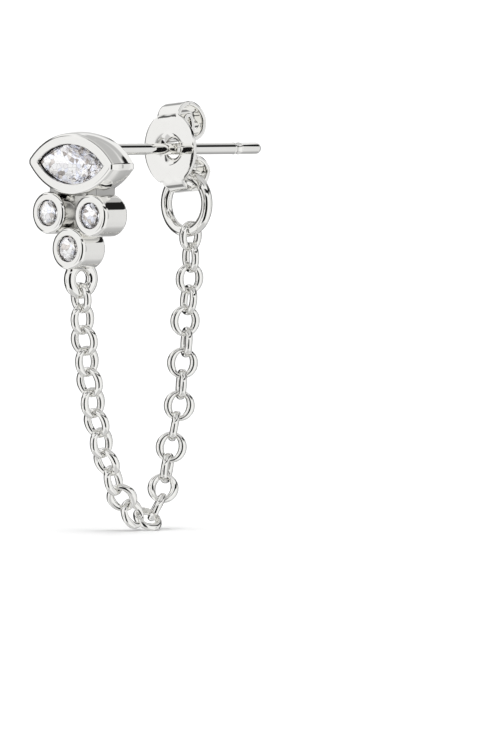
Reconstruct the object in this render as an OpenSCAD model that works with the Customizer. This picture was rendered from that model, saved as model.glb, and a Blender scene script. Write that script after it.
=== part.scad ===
/* [Marquise cup] */
// Length of the opening, tip to tip
marquise_l = 4.9; // [4.7:0.05:5.1]
// Height of the opening
marquise_h = 2.25; // [2.1:0.05:2.35]
// Width of the flat rim round the opening
marquise_rim = 0.6; // [0.55:0.01:0.64]
// Depth of every cup, front to back
cup_depth = 2.0; // [1.9:0.05:2.2]

/* [Round cups] */
// Diameter of each round opening
round_bore_d = 1.46; // [1.4:0.02:1.5]
// Width of the flat rim round each opening
round_rim = 0.46; // [0.42:0.01:0.47]
// Distance between the two upper round cups, centre to centre
round_spread = 3.1; // [3.05:0.05:3.2]
// Drop from the marquise's centre to the upper round cups
round_drop = 2.8; // [2.78:0.01:2.84]
// Drop from the upper round cups to the bottom one
low_drop = 1.92; // [1.88:0.01:1.95]

/* [Post and ear] */
// Diameter of the post
post_d = 0.65; // [0.6:0.01:0.7]
// Height of the post above the marquise's centre
post_rise = 0.8; // [0.7:0.05:0.9]
// Room for the ear lobe, from the cups' backs to the clutch
lobe_gap = 6.6; // [6.2:0.1:7]
// Length of post behind the clutch's front face
post_tail = 7.75; // [7:0.05:9]

/* [Clutch] */
// Width of the clutch's front plate
plate_w = 3.7; // [3.5:0.1:4]
// Height of the clutch's front plate
plate_h = 4.16; // [4:0.02:4.3]
// Thickness of the clutch's sheet
sheet_t = 0.24; // [0.2:0.01:0.26]
// Width of the rolled wings
wing_w = 1.5; // [1.3:0.05:1.6]
// Diameter of the hole in the plate
plate_bore_d = 1.15; // [1:0.05:1.2]

/* [Ring, loop and chain] */
// Mean diameter of the jump ring
ring_d = 3.14; // [3.1:0.02:3.18]
// Wire diameter of the jump ring
ring_wire_d = 0.62; // [0.55:0.01:0.63]
// Mean diameter of the loop under the bottom cup
loop_d = 1.54; // [1.4:0.02:1.6]
// Wire diameter of that loop
loop_wire_d = 0.62; // [0.5:0.02:0.65]
// Width of the chain, over its links
chain_w = 1.6; // [1.4:0.05:1.7]

/* [Hidden] */
$fn = 64;

// The origin is on the post's axis, half way between the cups' backs and the clutch
cup_back_y = -lobe_gap / 2;
cup_front_y = cup_back_y - cup_depth;
plate_y = lobe_gap / 2;
post_tip_y = plate_y + post_tail;
marquise_z = -post_rise;
round_z = marquise_z - round_drop;
bottom_z = round_z - low_drop;
round_r = round_bore_d / 2 + round_rim;

// Stones sit a little below the rims, with a hair's gap all round
stone_gap = 0.03;
table_below_rim = 0.1;
seat_ledge = 0.1;
ledge_drop = 0.1;
pocket_depth = 1.6;

// How far a cut runs past the face that it opens
cut_over = 1;

// How far the post, the bars and the loop reach into the cups' walls
post_root = 0.2;
bar_bite = 0.2;
loop_bite = 0.39;

// Bars behind the rims: one on each side, one in the middle, and a seam of solder
// between the bottom cup and each upper one
side_bar_w = 0.7;
side_bar_x = 1.4;
side_bar_set_back = 0.35;
middle_bar_set_back = 1;
solder_r = 0.2;
back_step = 0.05;

// Loop under the bottom cup
loop_set_back = 1.3;
loop_drop = 1.71;
loop_y = cup_front_y + loop_set_back;
loop_z = bottom_z - loop_drop;

// Jump ring, hanging in the clutch's lower roll
ring_set_back = 1.7;
ring_y = plate_y + ring_set_back;
ring_z = -3.1;

// Groove rolled round the post near its tip, which a clutch clicks into
groove_from_tip = 2.05;
groove_w = 0.56;
groove_deep = 0.05;

// The chain's route in the plane of symmetry, each row [y, z]
chain_route = [
    [-4, -8.45], [-3.9, -9.4], [-3.6, -10.8], [-3.3, -12], [-3, -13.2], [-2.7, -14.3],
    [-2.3, -15.4], [-1.8, -16.6], [-1.3, -17.7], [-0.7, -18.7], [0.1, -19.7], [1.1, -20.5],
    [2.2, -20.8], [3.1, -20.3], [3.6, -19.2], [3.9, -18], [4.2, -16.8], [4.5, -15.6],
    [4.7, -14.4], [4.9, -13.2], [5, -12], [5.1, -10.8], [5.1, -9.6], [5.1, -8.4],
    [5.1, -7.2], [5.1, -6.1], [5, -5.1]
];
chain_sides = 10;

// Wings of the clutch: each row is [straight run, bend radius, turn in degrees], walked
// along the middle of the sheet from the plate's edge
wing_start = 0.9;
upper_wing = [[0.6, 1.02, -180], [0.5, 0.42, -180], [0.35, 1.5, 30]];
lower_wing = [[0.35, 1.08, -90], [0.36, 1.08, -90], [0.25, 0.5, -180], [0.07, 1, 5]];
bend_step = 15;

// Neck between each wing and the plate, cut by a round notch on both sides
neck_w = 1;
neck_notch_r = 0.45;
neck_below_edge = 0.25;
notch_reach = 1.8 * sheet_t;

// Funnel pushed back round the hole in the plate
funnel_spread = 0.35;
funnel_deep = 0.3;
funnel_lip = 0.05;
funnel_back_w = 0.15;
funnel_overlap = 0.02;

// Draws a flat shape in the plane of the rims and carries it back by depth from y
module from_front(y, depth) {
    translate([0, y + depth, 0])
        rotate([90, 0, 0])
            linear_extrude(depth)
                children();
}

// A pointed oval: two arcs that meet at the tips
module pointed_oval(half_l, half_h) {
    arc_r = (half_l * half_l + half_h * half_h) / (2 * half_h);
    intersection() {
        translate([0, arc_r - half_h])
            circle(arc_r, $fn = 128);
        translate([0, half_h - arc_r])
            circle(arc_r, $fn = 128);
    }
}

// The same oval grown by a rim, with round tips
module rimmed_oval(half_l, half_h, rim) {
    arc_r = (half_l * half_l + half_h * half_h) / (2 * half_h);
    reach = half_l + rim * half_l / arc_r;
    intersection() {
        translate([0, arc_r - half_h])
            circle(arc_r + rim, $fn = 128);
        translate([0, half_h - arc_r])
            circle(arc_r + rim, $fn = 128);
        square([2 * reach, 4 * half_h], center = true);
    }
    for (side = [-1, 1])
        translate([side * half_l, 0])
            circle(rim);
}

module marquise_cup() {
    half_l = marquise_l / 2;
    half_h = marquise_h / 2;
    translate([0, 0, marquise_z])
        difference() {
            from_front(cup_front_y, cup_depth)
                rimmed_oval(half_l, half_h, marquise_rim);
            from_front(cup_front_y - cut_over, cut_over + marquise_girdle_y() + ledge_drop)
                pointed_oval(half_l, half_h);
            from_front(cup_front_y, pocket_depth)
                pointed_oval(half_l - seat_ledge, half_h - seat_ledge);
        }
}

module round_cup() {
    difference() {
        from_front(cup_front_y, cup_depth)
            circle(round_r);
        from_front(cup_front_y - cut_over, cut_over + round_girdle_y() + ledge_drop)
            circle(round_bore_d / 2);
        from_front(cup_front_y, pocket_depth)
            circle(round_bore_d / 2 - seat_ledge);
    }
}

module post() {
    straight = post_tip_y - post_d / 2 - cup_back_y;
    groove_r = (groove_w * groove_w / 4 + groove_deep * groove_deep) / (2 * groove_deep);
    difference() {
        translate([0, cup_back_y - post_root, 0])
            rotate([-90, 0, 0])
                cylinder(h = straight + post_root, d = post_d);
        translate([0, post_tip_y - groove_from_tip, 0])
            rotate([-90, 0, 0])
                rotate_extrude()
                    translate([post_d / 2 - groove_deep + groove_r, 0])
                        circle(groove_r);
    }
    translate([0, post_tip_y - post_d / 2, 0])
        sphere(d = post_d);
}

// A block between two heights, centred at x, from a set-back behind the rims to the backs
module bar(x, width, set_back, low, high) {
    translate([x - width / 2, cup_front_y + set_back, low])
        cube([width, cup_depth - set_back - back_step, high - low]);
}

// Bars and solder that tie the cups together behind their rims
module bars() {
    marquise_low = marquise_z - marquise_h / 2;
    middle_w = round_spread - 2 * round_r + bar_bite;
    bar(0, middle_w, middle_bar_set_back, bottom_z + round_r - bar_bite,
        marquise_low - marquise_rim + bar_bite);
    for (side = [-1, 1]) {
        bar(side * side_bar_x, side_bar_w, side_bar_set_back,
            round_z + round_r - bar_bite, marquise_low);
        translate([side * round_spread / 4, cup_front_y + side_bar_set_back, (round_z + bottom_z) / 2])
            rotate([-90, 0, 0])
                cylinder(h = cup_depth - side_bar_set_back - back_step, r = solder_r);
    }
}

// Ring soldered along the bottom cup's lowest line, filed flat on top where it sits in the wall
module loop() {
    flat_z = bottom_z - round_r + loop_bite;
    difference() {
        translate([0, loop_y, loop_z])
            rotate([0, 90, 0])
                rotate_extrude()
                    translate([loop_d / 2, 0])
                        circle(d = loop_wire_d);
        translate([-loop_d, loop_y - loop_d, flat_z])
            cube(2 * loop_d);
    }
}

module setting() {
    color("silver") {
        marquise_cup();
        for (side = [-1, 1])
            translate([side * round_spread / 2, 0, round_z])
                round_cup();
        translate([0, 0, bottom_z])
            round_cup();
        bars();
        post();
        loop();
    }
}

// Proportions of a cut stone, as shares of its width
crown_share = 0.16;
girdle_share = 0.04;
pavilion_share = 0.43;
table_share = 0.56;
round_stone_d = round_bore_d - 2 * stone_gap;
marquise_stone_w = marquise_h - 2 * stone_gap;
function round_girdle_y() = table_below_rim + (crown_share + girdle_share) * round_stone_d;
function marquise_girdle_y() = table_below_rim + (crown_share + girdle_share) * marquise_stone_w;

module round_stone(x, z) {
    r = round_stone_d / 2;
    crown = crown_share * round_stone_d;
    girdle = girdle_share * round_stone_d;
    color("aliceblue")
        translate([x, cup_front_y + table_below_rim, z])
            rotate([-90, 0, 0])
                rotate_extrude()
                    polygon([
                        [0, 0],
                        [table_share * r, 0],
                        [r, crown],
                        [r, crown + girdle],
                        [0, crown + girdle + pavilion_share * round_stone_d]
                    ]);
}

module round_stone_left() {
    round_stone(-round_spread / 2, round_z);
}

module round_stone_right() {
    round_stone(round_spread / 2, round_z);
}

module round_stone_bottom() {
    round_stone(0, bottom_z);
}

module marquise_stone() {
    half_l = marquise_l / 2 - 2 * stone_gap;
    half_h = marquise_stone_w / 2;
    crown = crown_share * marquise_stone_w;
    girdle = girdle_share * marquise_stone_w;
    sliver = 0.01;
    table_y = cup_front_y + table_below_rim;
    color("aliceblue")
        translate([0, 0, marquise_z])
            hull() {
                from_front(table_y, sliver)
                    scale(table_share)
                        pointed_oval(half_l, half_h, $fn = 32);
                from_front(table_y + crown, girdle)
                    pointed_oval(half_l, half_h, $fn = 32);
                from_front(table_y + crown + girdle + pavilion_share * marquise_stone_w, sliver)
                    square([half_l, sliver], center = true);
            }
}

// Points along a bent strip, each [point, heading], from rows of [run, radius, turn]
function bent(rows, p, heading, i = 0) =
    i == len(rows) ? [] :
    let (
        side = sign(rows[i][2]),
        r = rows[i][1],
        steps = ceil(abs(rows[i][2]) / bend_step),
        q = p + rows[i][0] * [cos(heading), sin(heading)],
        centre = q + r * [cos(heading + 90 * side), sin(heading + 90 * side)],
        arc = [for (k = [0:steps])
            let (h = heading + rows[i][2] * k / steps)
            [centre + r * [cos(h - 90 * side), sin(h - 90 * side)], h]],
        last = arc[steps]
    )
    concat(arc, bent(rows, last[0], last[1], i + 1));

// Cross-section of one wing, as a strip of the sheet's thickness
module wing_section(rows) {
    start = [sheet_t / 2, wing_start];
    line = concat([[start, 90]], bent(rows, start, 90));
    function edge(item, side) =
        item[0] + side * sheet_t / 2 * [cos(item[1] + 90), sin(item[1] + 90)];
    polygon(concat(
        [for (item = line) edge(item, 1)],
        [for (k = [len(line) - 1:-1:0]) edge(line[k], -1)]
    ));
}

// One rolled wing, narrowed to a neck where it leaves the plate
module wing(rows) {
    difference() {
        translate([-wing_w / 2, 0, 0])
            rotate([90, 0, 90])
                linear_extrude(wing_w)
                    wing_section(rows);
        for (side = [-1, 1])
            translate([side * (neck_w / 2 + neck_notch_r), -cut_over, plate_h / 2 - neck_below_edge])
                rotate([-90, 0, 0])
                    cylinder(h = cut_over + notch_reach, r = neck_notch_r);
    }
}

module clutch_plate() {
    bore_r = plate_bore_d / 2;
    funnel_r = bore_r + funnel_spread;
    funnel_back = funnel_deep + sheet_t;
    difference() {
        from_front(0, sheet_t)
            scale([plate_w / plate_h, 1])
                circle(d = plate_h);
        rotate([-90, 0, 0])
            cylinder(h = 3 * sheet_t, r = funnel_r - funnel_overlap, center = true);
    }
    rotate([-90, 0, 0])
        rotate_extrude()
            polygon([
                [funnel_r, 0],
                [bore_r + funnel_lip, funnel_deep],
                [bore_r, funnel_back],
                [bore_r + funnel_back_w, funnel_back],
                [funnel_r, sheet_t]
            ]);
}

module clutch() {
    color("silver")
        translate([0, plate_y, 0]) {
            clutch_plate();
            wing(upper_wing);
            mirror([0, 0, 1])
                wing(lower_wing);
        }
}

module jump_ring() {
    color("silver")
        translate([0, ring_y, ring_z])
            rotate([90, 0, 0])
                rotate_extrude()
                    translate([ring_d / 2, 0])
                        circle(d = ring_wire_d);
}

function unit(v) = v / norm(v);
function along(path, i) = unit(path[min(i + 1, len(path) - 1)] - path[max(i - 1, 0)]);

// Ring of points round one point of a route that lies in the plane of symmetry
function tube_ring(path, i, r, sides) =
    let (t = along(path, i), n = [-t[1], t[0]])
    [for (k = [0:sides - 1])
        let (a = 360 * k / sides, out = path[i] + r * sin(a) * n)
        [r * cos(a), out[0], out[1]]];

// The chain, as one tube of its width along its true route
module chain() {
    rings = len(chain_route);
    points = [for (i = [0:rings - 1]) each tube_ring(chain_route, i, chain_w / 2, chain_sides)];
    walls = [for (i = [0:rings - 2], k = [0:chain_sides - 1])
        let (next = (k + 1) % chain_sides, a = i * chain_sides, b = a + chain_sides)
        [a + k, a + next, b + next, b + k]];
    first_end = [for (k = [chain_sides - 1:-1:0]) k];
    last_end = [for (k = [0:chain_sides - 1]) (rings - 1) * chain_sides + k];
    color("silver")
        polyhedron(points, concat([first_end], walls, [last_end]), convexity = 6);
}

setting();
marquise_stone();
round_stone_left();
round_stone_right();
round_stone_bottom();
clutch();
jump_ring();
chain();
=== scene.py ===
import math

import bpy
from mathutils import Matrix, Vector


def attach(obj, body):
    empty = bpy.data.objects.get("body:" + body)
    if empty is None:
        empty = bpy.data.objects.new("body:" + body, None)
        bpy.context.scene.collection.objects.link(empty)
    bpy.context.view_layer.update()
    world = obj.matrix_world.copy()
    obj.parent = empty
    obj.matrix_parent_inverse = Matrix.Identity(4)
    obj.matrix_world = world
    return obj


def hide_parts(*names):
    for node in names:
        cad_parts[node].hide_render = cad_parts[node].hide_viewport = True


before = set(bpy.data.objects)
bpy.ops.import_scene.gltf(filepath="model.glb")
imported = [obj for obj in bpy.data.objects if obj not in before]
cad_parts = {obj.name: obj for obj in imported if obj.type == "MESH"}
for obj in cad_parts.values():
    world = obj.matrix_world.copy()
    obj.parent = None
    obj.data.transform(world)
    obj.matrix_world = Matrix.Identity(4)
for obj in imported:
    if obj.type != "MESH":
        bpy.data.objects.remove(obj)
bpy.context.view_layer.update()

# Lengths are in mm, unless MM turns them into metres, and Z is up.
MM = 0.001


# The camera
# It stands over half a metre off with a long lens, a little above the stones and to the
# right of their faces, and is tipped by about two degrees.
azimuth = math.radians(40.03)
elevation = math.radians(3.27)
roll = math.radians(1.88)
distance = 550 * MM
aim = Vector((0, 0, -8)) * MM
slide_right = 6.313 * MM
slide_up = -4.294 * MM
sensor = 36
long_side_seen = 41.34 * MM
sees_to = 20000 * MM

look = Vector((-math.sin(azimuth) * math.cos(elevation),
               math.cos(azimuth) * math.cos(elevation),
               -math.sin(elevation)))
level_right = Vector((math.cos(azimuth), math.sin(azimuth), 0))
level_up = level_right.cross(look)
right = math.cos(roll) * level_right + math.sin(roll) * level_up
up = -math.sin(roll) * level_right + math.cos(roll) * level_up
stand = aim - distance * look + slide_right * right + slide_up * up

bpy.ops.object.camera_add()
camera = bpy.context.object
camera.name = "camera"
camera.data.sensor_width = sensor
camera.data.lens = sensor * distance / long_side_seen
camera.data.clip_end = sees_to
turn = Matrix((right, up, -look)).transposed().to_4x4()
camera.matrix_world = Matrix.Translation(stand) @ turn
bpy.context.scene.camera = camera


# The studio
# A white tent all round, with black and grey cards outside the picture that give the
# polished silver its thin dark lines. The tent itself shows as plain white behind.
scene = bpy.context.scene
scene.view_settings.view_transform = "Standard"
tent_tone = 0.92
backdrop_tone = 1.0
cards_drawn_back = 0.7
least_depth = 0.001

# Each card is [heading from +X, height above level, half width, half height] in degrees,
# how soft its edge is, and its tone. A later card lies in front of an earlier one.
cards = [
    [0, 90, 32, 32, 0.25, 0.62],
    [0, -90, 33, 33, 0.25, 0.62],
    [180, -58, 8, 4, 0.08, 0.25],
    [50, -3, 18, 26, 0.25, 0.78],
    [95, 56, 34, 9, 0.12, 0.52],
    [106, 41, 22, 6, 0.1, 0.52],
    [127, 17, 6, 7, 0.1, 0.65],
    [169, -2, 24, 32, 0.15, 0.03],
    [-160, -2, 11, 30, 0.15, 0.06],
    [144, 28, 9, 10, 0.12, 0.35],
    [144, -32, 9, 12, 0.12, 0.1],
    [101, -2, 24, 21, 0.15, 0.03],
    [-18, 40, 34, 6.5, 0.05, 0.015],
    [48, 38, 34, 6.5, 0.05, 0.015],
    [66.5, 31, 15, 9.5, 0.05, 0.015],
    [-84, 64, 24, 6, 0.1, 0.08],
    [-62, 5, 14, 32, 0.2, 0.66],
    [-51, -13, 20, 36, 0.1, 0.01],
    [42, 3, 2.5, 14, 0.05, 0.45],
    [-115, -12, 6, 8, 0.1, 0.3],
    [-145, 25, 7, 5, 0.08, 0.1],
    [-130, -3, 13, 13, 0.2, 0.9],
    [61, -31, 14, 9, 0.2, 0.75],
    [92, -41, 18, 12, 0.3, 0.5],
    [116, -33, 18, 15, 0.4, 0.36],
]

world = bpy.data.worlds.new("studio")
scene.world = world
world.use_nodes = True
nodes = world.node_tree.nodes
links = world.node_tree.links
nodes.clear()


def add_node(tree_nodes, kind, **settings):
    """A node of this kind with these settings."""
    made = tree_nodes.new(kind)
    for name, value in settings.items():
        setattr(made, name, value)
    return made


def reckon(operation, *inputs):
    """The output of a maths node fed with numbers or with other nodes' outputs."""
    made = add_node(nodes, "ShaderNodeMath", operation=operation)
    for place, value in enumerate(inputs):
        if isinstance(value, (int, float)):
            made.inputs[place].default_value = value
        else:
            links.new(value, made.inputs[place])
    return made.outputs[0]


def along(direction_socket, axis):
    """How far a direction runs along an axis."""
    made = add_node(nodes, "ShaderNodeVectorMath", operation="DOT_PRODUCT")
    links.new(direction_socket, made.inputs[0])
    made.inputs[1].default_value = axis
    return made.outputs["Value"]


def inside(distance_socket, half_size, softness):
    """1 within half_size of a card's middle line, fading to 0 over the card's soft edge."""
    made = add_node(nodes, "ShaderNodeMapRange", interpolation_type="SMOOTHSTEP")
    links.new(distance_socket, made.inputs["Value"])
    made.inputs["From Min"].default_value = half_size - softness / 2
    made.inputs["From Max"].default_value = half_size + softness / 2
    made.inputs["To Min"].default_value = 1
    made.inputs["To Max"].default_value = 0
    return made.outputs["Result"]


seen_direction = add_node(nodes, "ShaderNodeTexCoord").outputs["Generated"]
tone = None
for heading, height, half_width, half_height, softness, card_tone in cards:
    heading = math.radians(heading)
    height = math.radians(height)
    card_axis = Vector((math.cos(heading) * math.cos(height),
                        math.sin(heading) * math.cos(height),
                        math.sin(height)))
    card_right = Vector((math.sin(heading), -math.cos(heading), 0))
    card_up = card_right.cross(card_axis)
    ahead = along(seen_direction, card_axis)
    depth = reckon("MAXIMUM", ahead, least_depth)
    across = reckon("ABSOLUTE", reckon("DIVIDE", along(seen_direction, card_right), depth))
    above = reckon("ABSOLUTE", reckon("DIVIDE", along(seen_direction, card_up), depth))
    cover = reckon("MULTIPLY", inside(across, math.tan(math.radians(half_width)), softness),
                   inside(above, math.tan(math.radians(half_height)), softness))
    cover = reckon("MULTIPLY", cover, reckon("GREATER_THAN", ahead, 0))
    blend = add_node(nodes, "ShaderNodeMix", data_type="FLOAT")
    links.new(cover, blend.inputs[0])
    if tone is None:
        blend.inputs[2].default_value = tent_tone
    else:
        links.new(tone, blend.inputs[2])
    blend.inputs[3].default_value = card_tone
    tone = blend.outputs[0]

# What shines through the stones comes from the tent with its cards mostly drawn back.
path = add_node(nodes, "ShaderNodeLightPath")
drawn_back = reckon("MULTIPLY", path.outputs["Is Transmission Ray"],
                    reckon("SUBTRACT", tent_tone, tone))
tone = reckon("ADD", tone, reckon("MULTIPLY", drawn_back, cards_drawn_back))
tent = add_node(nodes, "ShaderNodeBackground")
tent.inputs["Color"].default_value = (1, 1, 1, 1)
links.new(tone, tent.inputs["Strength"])
backdrop = add_node(nodes, "ShaderNodeBackground")
backdrop.inputs["Color"].default_value = (1, 1, 1, 1)
backdrop.inputs["Strength"].default_value = backdrop_tone
choice = add_node(nodes, "ShaderNodeMixShader")
links.new(path.outputs["Is Camera Ray"], choice.inputs[0])
links.new(tent.outputs[0], choice.inputs[1])
links.new(backdrop.outputs[0], choice.inputs[2])
links.new(choice.outputs[0], add_node(nodes, "ShaderNodeOutputWorld").inputs["Surface"])


# The floor
# A pale matt table under the lowest links, wide enough to run out of the picture, and lit
# from above until it is white. It and its lamp don't show in the silver.
floor_z = -21.47 * MM
floor_half = 3000 * MM
lamp_power = 2.1
lamp_spread = math.radians(38)

bpy.ops.mesh.primitive_plane_add(size=2 * floor_half, location=(0, 0, floor_z))
floor = bpy.context.object
floor.name = "floor"
floor.visible_glossy = False
bpy.ops.object.light_add(type="SUN")
lamp = bpy.context.object
lamp.name = "overhead_lamp"
lamp.data.energy = lamp_power
lamp.data.angle = lamp_spread
lamp.visible_glossy = False
paper = bpy.data.materials.new("white_paper")
paper.use_nodes = True
paper_shader = paper.node_tree.nodes["Principled BSDF"]
paper_shader.inputs["Base Color"].default_value = (0.95, 0.95, 0.95, 1)
paper_shader.inputs["Roughness"].default_value = 0.9
floor.data.materials.append(paper)


# The cups
# Four cast bezel cups of polished silver, a marquise one over three round ones, with a flat
# rim round each stone. They are soldered side by side, and the bars behind the rims join them.
cup_front = -5.3
cup_depth = 2.0
pocket_depth = 1.6
marquise_z = -0.8
marquise_half_l = 2.45
marquise_half_h = 1.125
marquise_rim = 0.6
marquise_bulge = 0.09
bore_r = 0.73
round_rim = 0.46
round_places = {"left": (-1.55, -3.6), "right": (1.55, -3.6), "bottom": (0, -5.52)}
silver_pale = (0.965, 0.96, 0.94)
silver_deep = (0.93, 0.924, 0.9)
polish_clouds = 1.6
ripple_clouds = 2.2

# Vertices closer than weld_gap are one, and places closer than a hair are the same.
weld_gap = 0.0001 * MM
hair = 0.001


def silver_finish(name, brightness, smoothest, roughest, ripple_depth):
    """Silver: near white, with a slightly uneven polish and ripples of this depth in mm."""
    made = bpy.data.materials.new(name)
    made.use_nodes = True
    tree = made.node_tree
    shader = tree.nodes["Principled BSDF"]
    shader.inputs["Metallic"].default_value = 1
    place = add_node(tree.nodes, "ShaderNodeTexCoord")
    to_mm = add_node(tree.nodes, "ShaderNodeMapping")
    to_mm.inputs["Scale"].default_value = (1 / MM, 1 / MM, 1 / MM)
    tree.links.new(place.outputs["Object"], to_mm.inputs["Vector"])
    cloud = add_node(tree.nodes, "ShaderNodeTexNoise")
    cloud.inputs["Scale"].default_value = polish_clouds
    cloud.inputs["Detail"].default_value = 4
    tree.links.new(to_mm.outputs[0], cloud.inputs["Vector"])
    colour = add_node(tree.nodes, "ShaderNodeMix", data_type="RGBA")
    colour.inputs[6].default_value = [*(part * brightness for part in silver_pale), 1]
    colour.inputs[7].default_value = [*(part * brightness for part in silver_deep), 1]
    tree.links.new(cloud.outputs["Fac"], colour.inputs[0])
    tree.links.new(colour.outputs[2], shader.inputs["Base Color"])
    gloss = add_node(tree.nodes, "ShaderNodeMapRange")
    gloss.inputs["To Min"].default_value = smoothest
    gloss.inputs["To Max"].default_value = roughest
    tree.links.new(cloud.outputs["Fac"], gloss.inputs["Value"])
    tree.links.new(gloss.outputs[0], shader.inputs["Roughness"])
    ripple = add_node(tree.nodes, "ShaderNodeTexNoise")
    ripple.inputs["Scale"].default_value = ripple_clouds
    ripple.inputs["Detail"].default_value = 2
    tree.links.new(to_mm.outputs[0], ripple.inputs["Vector"])
    bump = add_node(tree.nodes, "ShaderNodeBump")
    bump.inputs["Strength"].default_value = 0.5
    bump.inputs["Distance"].default_value = ripple_depth * MM
    tree.links.new(ripple.outputs["Fac"], bump.inputs["Height"])
    tree.links.new(bump.outputs["Normal"], shader.inputs["Normal"])
    return made


silver = silver_finish("polished_silver", 1, 0.01, 0.05, 0.001)


def arc(centre, radius, start, end, steps):
    """Points along an arc in a flat section, its angles in degrees."""
    angles = [math.radians(start + (end - start) * k / steps) for k in range(steps + 1)]
    return [(centre[0] + radius * math.cos(a), centre[1] + radius * math.sin(a)) for a in angles]


def draw_line(name, points):
    """Draws a line of vertices through the points, in mm, and leaves it in edit mode."""
    bpy.ops.object.select_all(action="DESELECT")
    bpy.ops.mesh.primitive_plane_add(size=MM, location=(0, 0, 0))
    bpy.context.object.name = name
    bpy.ops.object.mode_set(mode="EDIT")
    bpy.ops.mesh.merge(type="CENTER")
    points = [Vector(point) * MM for point in points]
    bpy.ops.transform.translate(value=points[0])
    for here, there in zip(points, points[1:]):
        bpy.ops.mesh.extrude_vertices_move(TRANSFORM_OT_translate={"value": there - here})
    bpy.ops.mesh.select_all(action="SELECT")
    return bpy.context.object


def sweep(angle, centre, steps, axis=(0, 1, 0)):
    """Turns what is selected about a centre in mm. About +Y, a plus angle goes from +X to +Z,
    and about +X it goes from -Y over the top to +Y."""
    bpy.ops.mesh.spin(steps=steps, angle=math.radians(angle),
                      center=Vector(centre) * MM, axis=axis)


def weld():
    """Joins the seams and selects the whole piece again."""
    bpy.ops.mesh.select_all(action="SELECT")
    bpy.ops.mesh.remove_doubles(threshold=weld_gap)
    bpy.ops.mesh.select_all(action="SELECT")


def close_up():
    """Welds the seams, fills the open ends and turns every face outwards."""
    weld()
    bpy.ops.mesh.fill_holes(sides=0)
    bpy.ops.mesh.select_all(action="SELECT")
    bpy.ops.mesh.normals_make_consistent(inside=False)
    bpy.ops.object.mode_set(mode="OBJECT")


def pick(test):
    """Selects the vertices of the piece in hand whose place in mm passes a test."""
    bpy.ops.mesh.select_all(action="DESELECT")
    bpy.ops.object.mode_set(mode="OBJECT")
    for v in bpy.context.object.data.vertices:
        v.select = bool(test(*(v.co / MM)))
    bpy.ops.object.mode_set(mode="EDIT")


def even_shading(obj, sharp_angle):
    """Smooth shading that leaves the flat faces flat and the edges crisp."""
    bpy.ops.object.select_all(action="DESELECT")
    obj.select_set(True)
    bpy.context.view_layer.objects.active = obj
    bpy.ops.object.shade_smooth_by_angle(angle=math.radians(sharp_angle))
    bpy.ops.object.modifier_add(type="WEIGHTED_NORMAL")
    obj.modifiers[-1].keep_sharp = True
    bpy.ops.object.modifier_apply(modifier=obj.modifiers[-1].name)


def finish_silver(piece, node, finish=silver, sharp_angle=35):
    """Shades a silver piece, gives it its finish and lets it stand for its CAD node."""
    even_shading(piece, sharp_angle)
    piece.data.materials.append(finish)
    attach(piece, "root")
    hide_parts(node)


def cup_section(rim, bulge):
    """The wall of a cup, cut through: [out from the opening, back from the rim's face]."""
    inner_r = 0.05
    outer_r = 0.23
    back_r = 0.22
    wall_steps = 8
    section = [(0, pocket_depth)]
    section += arc((inner_r, inner_r), inner_r, 180, 270, 4)
    section += arc((rim - outer_r, outer_r), outer_r, 270, 360, 6)
    wall_front = outer_r
    wall_back = cup_depth - back_r
    for k in range(1, wall_steps):
        share = k / wall_steps
        section.append((rim + bulge * (1 - (2 * share - 1) ** 2),
                        wall_front + share * (wall_back - wall_front)))
    section += arc((rim - back_r, cup_depth - back_r), back_r, 0, 90, 8)
    return section


# The marquise opening is two arcs, each arc_half degrees to either side of its middle. The
# wall turns by tip_turn degrees about each tip, and is blunt for ridge_half to either side.
arc_half = math.degrees(2 * math.atan(marquise_half_h / marquise_half_l))
arc_r = (marquise_half_l ** 2 + marquise_half_h ** 2) / (2 * marquise_half_h)
arc_drop = arc_r - marquise_half_h
arc_steps = 60
tip_turn = 180 - 2 * arc_half
tip_steps = 24
ridge_half = 13
angle_slack = 0.5
round_steps = 96

marquise_cup = draw_line("marquise_cup", [
    (0, cup_front + back, marquise_z + marquise_half_h + out)
    for out, back in cup_section(marquise_rim, marquise_bulge)])
sweep(-arc_half, (0, 0, marquise_z - arc_drop), arc_steps // 2)
sweep(-tip_turn, (marquise_half_l, 0, marquise_z), tip_steps)
sweep(-2 * arc_half, (0, 0, marquise_z + arc_drop), arc_steps)
sweep(-tip_turn, (-marquise_half_l, 0, marquise_z), tip_steps)
sweep(-arc_half, (0, 0, marquise_z - arc_drop), arc_steps // 2)
weld()

# The walls run on past the opening's tips until they meet in a slightly blunted ridge.
for side in (1, -1):
    opening_tip = Vector((side * marquise_half_l, 0, marquise_z)) * MM
    for k in range(tip_steps // 2 + 1):
        angle = tip_turn * k / tip_steps
        longer = 1 / math.cos(math.radians(tip_turn / 2 - max(angle, ridge_half)))
        pick(lambda x, y, z: x * side > marquise_half_l + hair and abs(abs(math.degrees(
            math.atan2(z - marquise_z, abs(x) - marquise_half_l))) - angle) < angle_slack)
        bpy.ops.transform.resize(value=(longer, 1, longer), center_override=opening_tip)
close_up()
finish_silver(marquise_cup, "setting", sharp_angle=50)

for side, (x, z) in round_places.items():
    cup = draw_line("round_cup_" + side, [
        (x, cup_front + back, z + bore_r + out) for out, back in cup_section(round_rim, 0)])
    sweep(-360, (x, 0, z), round_steps)
    close_up()
    finish_silver(cup, "setting")


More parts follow.
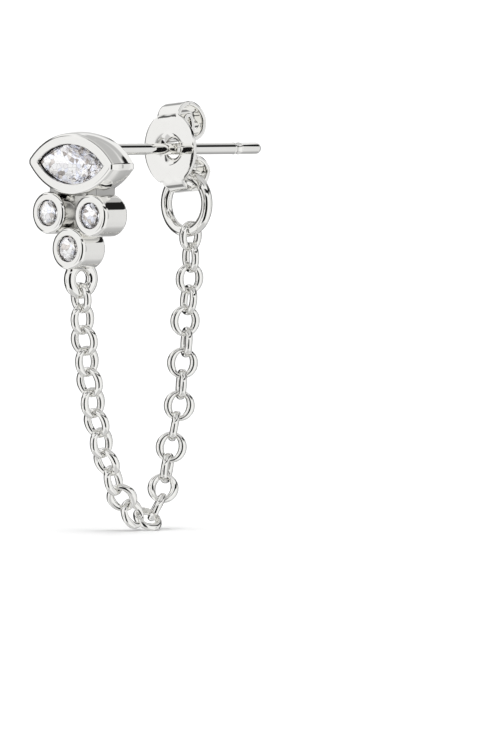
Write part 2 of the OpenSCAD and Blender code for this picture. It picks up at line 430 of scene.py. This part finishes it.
# The bars and the solder
# A plain bar fills the gap between the round cups, two short ones hold them to the marquise
# cup, and a bead of solder closes each seam over the bottom cup.
bars_back = -3.35
bars_front = -4.95
bar_soft = 0.06
middle_half = 0.46
middle_front = -4.3
middle_low = -4.53
middle_high = -2.325
side_x = 1.4
side_half = 0.35
side_low = -2.61
side_high = -1.925
solder_x = 0.775
solder_z = -4.56
solder_r = 0.2
bead_steps = 24
# The middle bar's silver is satin, rougher than the polish, and its colour is dimmed a little as
# painted shade for the recess it sits in between the cups.
satin_painted_shade = silver_finish("satin_silver", 0.88, 0.3, 0.4, 0.002)
# The short side bars' silver is dimmed to a little over half its colour: painted shade for where
# they sit between the cups, under the marquise cup.
painted_shade_grey = silver_finish("solder_grey_silver", 0.55, 0.25, 0.35, 0.002)


def bar(name, low, high, finish):
    """A block between two corners in mm, with softened edges."""
    bpy.ops.object.select_all(action="DESELECT")
    bpy.ops.mesh.primitive_cube_add(size=MM)
    made = bpy.context.object
    made.name = name
    bpy.ops.object.mode_set(mode="EDIT")
    bpy.ops.transform.resize(value=[b - a for a, b in zip(low, high)])
    bpy.ops.transform.translate(value=Vector([(a + b) / 2 for a, b in zip(low, high)]) * MM)
    bpy.ops.mesh.bevel(offset=bar_soft * MM, segments=3)
    bpy.ops.object.mode_set(mode="OBJECT")
    finish_silver(made, "setting", finish)


bar("middle_bar", (-middle_half, middle_front, middle_low),
    (middle_half, bars_back, middle_high), satin_painted_shade)
for side, x in {"left": -side_x, "right": side_x}.items():
    bar("side_bar_" + side, (x - side_half, bars_front, side_low),
        (x + side_half, bars_back, side_high), painted_shade_grey)
for side, x in {"left": -solder_x, "right": solder_x}.items():
    bead_line = [(0, bars_front), (solder_r - bar_soft, bars_front),
                 (solder_r, bars_front + bar_soft), (solder_r, bars_back - bar_soft),
                 (solder_r - bar_soft, bars_back), (0, bars_back)]
    solder = draw_line("solder_" + side, [(x + out, y, solder_z) for out, y in bead_line])
    sweep(360, (x, 0, solder_z), bead_steps)
    close_up()
    finish_silver(solder, "setting")


# The post
# A straight silver pin, soldered to the back of the marquise cup, with a rounded tip and a
# rolled groove where the clutch clicks into place.
post_r = 0.325
post_root = -3.5
post_tip = 11.05
post_steps = 48
groove_middle = 9
groove_half = 0.34
groove_deep = 0.07
groove_lip = 0.02
groove_steps = 20
lip_top = 0.5
dip_half = 0.65

# The groove dips below the post between two lips, which rise a little above it.
post_line = [(0, post_root), (post_r, post_root)]
for k in range(groove_steps + 1):
    across = 2 * k / groove_steps - 1
    far = abs(across)
    lift = groove_lip * (math.sin(math.pi * far) if far > lip_top else far / lip_top)
    dip = groove_deep * math.cos(math.pi / 2 * far / dip_half) if far < dip_half else 0
    post_line.append((post_r + lift - dip, groove_middle + across * groove_half))
post_line += arc((0, post_tip - post_r), post_r, 0, 90, 9)
post = draw_line("post", [(out, y, 0) for out, y in post_line])
sweep(360, (0, 0, 0), post_steps)
close_up()
finish_silver(post, "setting", sharp_angle=60)


# The loop
# A ring of round wire soldered along the bottom cup's lowest line, in the plane of the post
# and turned a little, and filed flat on top where it sits in the cup's wall.
loop_centre = Vector((0, -4.04, -7.23))
loop_r = 0.77
loop_wire_r = 0.34
loop_flat_z = -6.32
loop_heading = math.radians(79)
loop_out = Vector((math.cos(loop_heading), math.sin(loop_heading), 0))
loop_axis = Vector((math.sin(loop_heading), -math.cos(loop_heading), 0))
wire_steps = 24

loop = draw_line("loop", [loop_centre + loop_out * a + loop_axis * b
                          for a, b in arc((loop_r, 0), loop_wire_r, 0, 360, wire_steps)])
sweep(360, loop_centre, 3 * wire_steps, loop_axis)
weld()
bpy.ops.mesh.bisect(plane_co=(0, 0, loop_flat_z * MM), plane_no=(0, 0, 1),
                    clear_outer=True, use_fill=True)
close_up()
finish_silver(loop, "setting")


# The stones
# Clear brilliants, one marquise and three round, held by the cups' rims. Each has a clear
# table and crown. The bright foil on the pavilion stands for the many reflections in there:
# its patches of dark to white tones and its darker seams are painted reflections and glints.
stone_set_back = 0.02
crown_share = 0.1
girdle_share = 0.04
pavilion_share = 0.2
round_stone_r = 0.7
marquise_stone_half_l = 2.39
marquise_stone_half_h = 1.095
marquise_facets = 12
round_facets = 8
flat_enough = 0.3
stone_ior = 1.25
cool_clear = (0.97, 0.98, 1, 1)
warm_clear = (1, 0.99, 0.985, 1)
# The foil's seams are painted dark lines between its painted reflections.
seam_width = 0.12
painted_seam_tone = 0.8

# How many clouds or patches there are to a metre.
stone_clouds = 900
painted_glint_patches = 3800

# The foil's patches of painted reflection: the share of them at which each colour starts, and the
# colour.
painted_glint_colours = [
    (0, (0.4, 0.37, 0.35, 1)),
    (0.07, (0.7, 0.66, 0.63, 1)),
    (0.18, (0.93, 0.92, 0.93, 1)),
    (0.4, (1, 1, 1, 1)),
    (0.65, (0.9, 0.92, 1, 1)),
    (0.85, (1, 0.99, 0.97, 1)),
]


def clear_finish():
    """Clear stone, a hint bluer in some places and warmer in others, and smooth."""
    made = bpy.data.materials.new("clear_stone")
    made.use_nodes = True
    tree = made.node_tree
    shader = tree.nodes["Principled BSDF"]
    shader.inputs["IOR"].default_value = stone_ior
    shader.inputs["Transmission Weight"].default_value = 1
    place = add_node(tree.nodes, "ShaderNodeTexCoord")
    cloud = add_node(tree.nodes, "ShaderNodeTexNoise")
    cloud.inputs["Scale"].default_value = stone_clouds
    tree.links.new(place.outputs["Object"], cloud.inputs["Vector"])
    colour = add_node(tree.nodes, "ShaderNodeMix", data_type="RGBA")
    colour.inputs[6].default_value = cool_clear
    colour.inputs[7].default_value = warm_clear
    tree.links.new(cloud.outputs["Fac"], colour.inputs[0])
    tree.links.new(colour.outputs[2], shader.inputs["Base Color"])
    gloss = add_node(tree.nodes, "ShaderNodeMapRange")
    gloss.inputs["To Max"].default_value = 0.02
    tree.links.new(cloud.outputs["Fac"], gloss.inputs["Value"])
    tree.links.new(gloss.outputs[0], shader.inputs["Roughness"])
    return made


def painted_glint_foil_finish():
    """Mirror-bright foil behind the stone, its small patches and slightly darker seams painted
    reflections.
    """
    made = bpy.data.materials.new("painted_glint_foil")
    made.use_nodes = True
    tree = made.node_tree
    shader = tree.nodes["Principled BSDF"]
    shader.inputs["Metallic"].default_value = 0.9
    shader.inputs["Roughness"].default_value = 0.05
    place = add_node(tree.nodes, "ShaderNodeTexCoord")
    patches = add_node(tree.nodes, "ShaderNodeTexVoronoi")
    patches.inputs["Scale"].default_value = painted_glint_patches
    tree.links.new(place.outputs["Object"], patches.inputs["Vector"])
    seams = add_node(tree.nodes, "ShaderNodeTexVoronoi", feature="DISTANCE_TO_EDGE")
    seams.inputs["Scale"].default_value = painted_glint_patches
    tree.links.new(place.outputs["Object"], seams.inputs["Vector"])
    seam_shade = add_node(tree.nodes, "ShaderNodeMapRange")
    seam_shade.inputs["From Max"].default_value = seam_width
    seam_shade.inputs["To Min"].default_value = painted_seam_tone
    tree.links.new(seams.outputs["Distance"], seam_shade.inputs["Value"])
    split = add_node(tree.nodes, "ShaderNodeSeparateColor")
    tree.links.new(patches.outputs["Color"], split.inputs[0])
    ramp = add_node(tree.nodes, "ShaderNodeValToRGB")
    ramp.color_ramp.interpolation = "CONSTANT"
    stops = ramp.color_ramp.elements
    stops[0].color = painted_glint_colours[0][1]
    stops[1].position, stops[1].color = painted_glint_colours[1]
    for position, colour in painted_glint_colours[2:]:
        stops.new(position).color = colour
    tree.links.new(split.outputs[0], ramp.inputs[0])
    lined = add_node(tree.nodes, "ShaderNodeVectorMath", operation="SCALE")
    tree.links.new(ramp.outputs[0], lined.inputs[0])
    tree.links.new(seam_shade.outputs[0], lined.inputs["Scale"])
    tree.links.new(lined.outputs[0], shader.inputs["Base Color"])
    return made


clear_stone = clear_finish()
painted_glint_foil = painted_glint_foil_finish()


def round_point(share):
    """A point of the round stones' outline, share of the way round it from +X."""
    angle = 2 * math.pi * share
    return round_stone_r * math.cos(angle), round_stone_r * math.sin(angle)


def oval_point(share):
    """A point of the marquise stone's outline, share of the way round it from its +X tip."""
    half_l, half_h = marquise_stone_half_l, marquise_stone_half_h
    radius = (half_l ** 2 + half_h ** 2) / (2 * half_h)
    half_angle = math.asin(half_l / radius)
    angle = math.pi / 2 - half_angle + 2 * half_angle * (share % 0.5) / 0.5
    x, z = radius * math.cos(angle), radius * math.sin(angle) - radius + half_h
    return (x, z) if share % 1 < 0.5 else (-x, -z)


def cut_stone(node, outline, width, place, mains):
    """A brilliant: rings of corners for the table, the crown, the girdle and the pavilion, all
    joined by flat facets."""
    crown = crown_share * width
    girdle_back = crown + girdle_share * width
    pavilion = pavilion_share * width
    # Each ring is [corners, turn in steps of a corner, share of the outline, how far back].
    rings = [
        (mains, 0, 0.56, 0),
        (mains, 0.5, 0.8, 0.4 * crown),
        (2 * mains, 0, 1, crown),
        (2 * mains, 0, 1, girdle_back),
        (mains, 0.5, 0.7, girdle_back + 0.45 * pavilion),
        (mains, 0, 0.36, girdle_back + 0.83 * pavilion),
        (1, 0, 0, girdle_back + pavilion),
    ]
    table_y = cup_front + stone_set_back
    points = []
    for count, shift, share, back in rings:
        for k in range(count):
            x, z = outline((k + shift) / count)
            points.append((place[0] + share * x, table_y + back, place[1] + share * z))
    made = draw_line("cut_" + node, points)
    bpy.ops.mesh.convex_hull()
    bpy.ops.mesh.dissolve_limited(angle_limit=math.radians(flat_enough))
    bpy.ops.mesh.normals_make_consistent(inside=False)
    bpy.ops.object.mode_set(mode="OBJECT")
    bpy.ops.object.shade_flat()
    made.data.materials.append(clear_stone)
    made.data.materials.append(painted_glint_foil)
    for facet in made.data.polygons:
        facet.material_index = int(facet.center.y > (table_y + crown + hair) * MM)
    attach(made, "root")
    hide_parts(node)


cut_stone("marquise_stone", oval_point, 2 * marquise_stone_half_h, (0, marquise_z),
          marquise_facets)
for side, place in round_places.items():
    cut_stone("round_stone_" + side, round_point, 2 * round_stone_r, place, round_facets)


# The clutch
# A butterfly back pressed from one strip of silver sheet: an oval plate with a dimpled hole
# for the post, and a wing at its top and bottom rolled back to grip the post between them.
clutch_front = 3.3
sheet = 0.24
edge_soft = 0.03
clutch_steps = 72
clutch_turn = 8
clutch_shift = -0.1

# The plate is round as far as round_to, and then grows taller, by the share tall_by at its
# edge. The wings begin at neck_z, neck_x to either side, and are creased at the fold lines.
round_to = 0.95
edge_r = 1.85
tall_by = 0.124
neck_z = 1.885
neck_x = 0.8
neck_slack = 0.02
fold_lines = (1.75, -1.74)

# The dimple and the plate, from the hole outwards: [radius, how far behind the plate's front].
dimple = [(0.52, 0.42), (0.54, 0.36), (0.58, 0.28), (0.66, 0.19), (0.775, 0.1), (0.88, 0.03)]
plate = [(round_to, 0), (1.3, 0), (1.6, 0), (edge_r, 0)]

# The wings' free edges are first bent back a little and then rolled on, from an angle in
# degrees. Each row says how: [turn in degrees, radius in mm, steps, how much wider].
top_bend = 0.0725
top_lean = 19.8
top_roll = [[70, 1.135, 14, 1], [90, 1.135, 18, 1.25], [105, 1.1, 18, 1], [75, 0.7, 12, 0.97],
            [30, 1.3, 3, 1], [115, 0.36, 14, 1], [70, 0.95, 8, 0.95]]
bottom_bend = 0.09
bottom_lean = 32
bottom_roll_start = [[20, 1.2, 4, 0.9], [38, 1.2, 6, 0.88]]
bottom_shift = -0.15
bottom_run = 0.45
bottom_roll = [[45, 1.1, 7, 1], [45, 1.1, 7, 1.5], [90, 0.92, 12, 0.76], [60, 0.55, 8, 1],
               [150, 0.28, 14, 1]]

clutch = draw_line("folded_clutch", [(r, clutch_front + back, 0) for r, back in dimple + plate])
sweep(360, (0, 0, 0), clutch_steps)
weld()


def stretch(across, back, high, about=(0, 0, 0)):
    """Scales what is selected about a place in mm, measured from the plate."""
    centre = Vector((about[0], about[1] + clutch_front, about[2])) * MM
    bpy.ops.transform.resize(value=(across, back, high), center_override=centre)


def roll_on(end, place, turn, radius, steps, widen):
    """Rolls the free edge of the top (1) or bottom (-1) wing on at a radius in mm, and says where
    it comes to: how far behind the plate's front, how high, and how far round from upright."""
    back, high, angle = place
    middle_back = back + radius * math.cos(math.radians(angle))
    middle_high = high - end * radius * math.sin(math.radians(angle))
    for _ in range(steps):
        sweep(end * turn / steps, (0, clutch_front + middle_back, middle_high), 1, (1, 0, 0))
        stretch(widen ** (1 / steps), 1, 1)
    angle += turn
    return (middle_back - radius * math.cos(math.radians(angle)),
            middle_high + end * radius * math.sin(math.radians(angle)), angle)


def run_on(end, place, length):
    """Draws the wing's free edge out straight on by a length in mm."""
    back, high, angle = place
    step_back = length * math.sin(math.radians(angle))
    step_high = end * length * math.cos(math.radians(angle))
    bpy.ops.mesh.extrude_edges_move(
        TRANSFORM_OT_translate={"value": Vector((0, step_back, step_high)) * MM})
    return back + step_back, high + step_high, angle


for r, back in plate[1:]:
    pick(lambda x, y, z: abs(math.hypot(x, z) - r) < hair)
    stretch(1, 1, 1 + tall_by * (r - round_to) / (edge_r - round_to))
for end in (1, -1):
    pick(lambda x, y, z: z * end > neck_z - neck_slack and abs(x) < neck_x)
    stretch(1, 1, 0, (0, 0, end * neck_z))
for fold_z in fold_lines:
    bpy.ops.mesh.select_all(action="SELECT")
    bpy.ops.mesh.bisect(plane_co=(0, 0, fold_z * MM), plane_no=(0, 0, 1))
for end, bend in ((1, top_bend), (-1, bottom_bend)):
    pick(lambda x, y, z: z * end > neck_z - neck_slack)
    bpy.ops.transform.translate(value=(0, bend * MM, 0))

pick(lambda x, y, z: z > neck_z - neck_slack)
edge = (top_bend, neck_z, top_lean)
for row in top_roll:
    edge = roll_on(1, edge, *row)

pick(lambda x, y, z: z < neck_slack - neck_z and y < clutch_front + sheet)
edge = (bottom_bend, -neck_z, bottom_lean)
for row in bottom_roll_start:
    edge = roll_on(-1, edge, *row)
bpy.ops.transform.translate(value=(bottom_shift * MM, 0, 0))
edge = run_on(-1, edge, bottom_run)
for row in bottom_roll:
    edge = roll_on(-1, edge, *row)

# The sheet's front has to face the ear before it is given its thickness.
weld()
bpy.ops.mesh.normals_make_consistent(inside=False)
bpy.ops.object.mode_set(mode="OBJECT")
plate_normal = sum(face.normal.y for face in clutch.data.polygons
                   if abs(face.center.y - clutch_front * MM) < hair * MM)
if plate_normal > 0:
    bpy.ops.object.mode_set(mode="EDIT")
    bpy.ops.mesh.select_all(action="SELECT")
    bpy.ops.mesh.flip_normals()
    bpy.ops.object.mode_set(mode="OBJECT")
bpy.ops.object.modifier_add(type="SOLIDIFY")
thicken = clutch.modifiers[-1]
thicken.thickness = sheet * MM
thicken.offset = -1
thicken.use_even_offset = True
bpy.ops.object.modifier_apply(modifier=thicken.name)
bpy.ops.object.modifier_add(type="BEVEL")
soften = clutch.modifiers[-1]
soften.width = edge_soft * MM
soften.segments = 2
soften.angle_limit = math.radians(40)
bpy.ops.object.modifier_apply(modifier=soften.name)
bpy.ops.object.mode_set(mode="EDIT")
bpy.ops.mesh.select_all(action="SELECT")
bpy.ops.transform.rotate(value=math.radians(clutch_turn), orient_axis="Y",
                         center_override=(0, 0, 0))
bpy.ops.transform.translate(value=(clutch_shift * MM, 0, 0))
bpy.ops.object.mode_set(mode="OBJECT")
finish_silver(clutch, "clutch", sharp_angle=28)


# The jump ring
# A ring of round silver wire bent nearly shut. It hangs in the clutch's lower roll, where its
# fine gap is hidden, and carries the chain's last link.
ring_centre = Vector((0, 4.86, -3.1))
ring_r = 1.57
ring_wire_r = 0.32
ring_gap_turn = 1.2
ring_heading = math.radians(-3)
ring_axis = Vector((-math.sin(ring_heading), math.cos(ring_heading), 0))

ring = draw_line("wire_ring", [ring_centre + ring_axis * a + Vector((0, 0, ring_r + b))
                               for a, b in arc((0, 0), ring_wire_r, 0, 360, wire_steps)])
sweep(ring_gap_turn - 360, ring_centre, 5 * wire_steps, ring_axis)
close_up()
finish_silver(ring, "jump_ring")


# The chain
# A cable chain of 27 nearly round links of silver wire, each soldered shut through the last.
# It hangs from the loop, just meets the table and goes back up to the jump ring.
link_hole_half_w = 0.415
link_hole_half_l = 0.615
link_half_w = 0.875
link_half_l = 0.885
link_thick = 0.42
link_pitch = 1.21
link_steps = 64
link_wire_steps = 16
pulls_together = 400

# The links' middles in mm, from the loop's end to the jump ring's, as they look to hang.
link_places = [
    (0, -3.97, -8.28), (0, -3.85, -9.45), (0, -3.65, -10.7), (0, -3.3, -11.85),
    (0, -3, -13.05), (0, -2.75, -14.25), (0, -2.3, -15.45), (0, -1.85, -16.55),
    (0, -1.35, -17.65), (0, -0.7, -18.75), (0.1, 0, -19.7), (0.3, 0.84, -20.73),
    (0.4, 1.97, -20.85), (0.2, 2.96, -20.05), (0.1, 3.48, -19.1), (0, 3.9, -18.05),
    (0, 4.2, -16.85), (0, 4.45, -15.7), (0, 4.75, -14.5), (0, 4.9, -13.3),
    (0, 5, -12.1), (0, 5.15, -10.9), (0, 5.15, -9.7), (0.05, 5.2, -8.55),
    (0.1, 5.2, -7.35), (0.15, 5.16, -6.15), (0.2, 5.06, -4.93),
]
# How far each link is turned about the chain's line, in degrees, from lying across the post.
link_turns = [14, 92, -7, 92, -4, 94, 0, 90, 0, 74, -28, 76, 40, 138, 36, 118, 40, 131, 42, 140,
              46, 142, 61, 155, 71, 155, 90]

# One link is a round ring, each hoop of which is drawn out lengthways, the inner ones more.
wire_w = link_half_w - link_hole_half_w
bpy.ops.object.select_all(action="DESELECT")
bpy.ops.mesh.primitive_torus_add(
    major_segments=link_steps, minor_segments=link_wire_steps,
    major_radius=(link_half_w + link_hole_half_w) / 2 * MM, minor_radius=wire_w / 2 * MM)
pattern = bpy.context.object
hoops = [round(math.hypot(v.co.x, v.co.y) / MM, 4) for v in pattern.data.vertices]
for hoop in sorted(set(hoops)):
    share = (hoop - link_hole_half_w) / wire_w
    half_length = link_hole_half_l + share * (link_half_l - link_hole_half_l)
    bpy.ops.object.mode_set(mode="EDIT")
    bpy.ops.mesh.select_all(action="DESELECT")
    bpy.ops.object.mode_set(mode="OBJECT")
    for v, v_hoop in zip(pattern.data.vertices, hoops):
        v.select = v_hoop == hoop
    bpy.ops.object.mode_set(mode="EDIT")
    bpy.ops.transform.resize(value=(1, half_length / hoop, 1), center_override=(0, 0, 0))
    bpy.ops.object.mode_set(mode="OBJECT")
bpy.ops.object.mode_set(mode="EDIT")
bpy.ops.mesh.select_all(action="SELECT")
bpy.ops.transform.resize(value=(1, 1, link_thick / wire_w), center_override=(0, 0, 0))
bpy.ops.object.mode_set(mode="OBJECT")

# The two end links stay where they are, and the rest are drawn together to one pitch.
spots = [Vector(place) for place in link_places]
last = len(spots) - 1
for _ in range(pulls_together):
    for k in range(last):
        gap = spots[k + 1] - spots[k]
        pull = gap * (1 - link_pitch / gap.length)
        here = 0 if k == 0 else 1 if k + 1 == last else 0.5
        spots[k] += pull * here
        spots[k + 1] -= pull * (1 - here)

for number, (spot, twist) in enumerate(zip(spots, link_turns)):
    run = (spots[min(number + 1, last)] - spots[max(number - 1, 0)]).normalized()
    sideways = Vector((1, 0, 0))
    sideways = (sideways - sideways.dot(run) * run).normalized()
    wide = (math.cos(math.radians(twist)) * sideways
            + math.sin(math.radians(twist)) * run.cross(sideways))
    thick = wide.cross(run)
    link = bpy.data.objects.new(f"link_{number + 1:02d}", pattern.data.copy())
    scene.collection.objects.link(link)
    place = Matrix((wide, run, thick)).transposed().to_4x4()
    place.translation = spot * MM
    link.data.transform(place)
    for polygon in link.data.polygons:
        polygon.use_smooth = True
    link.data.materials.append(silver)
    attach(link, "root")
    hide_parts("chain")
bpy.data.objects.remove(pattern)
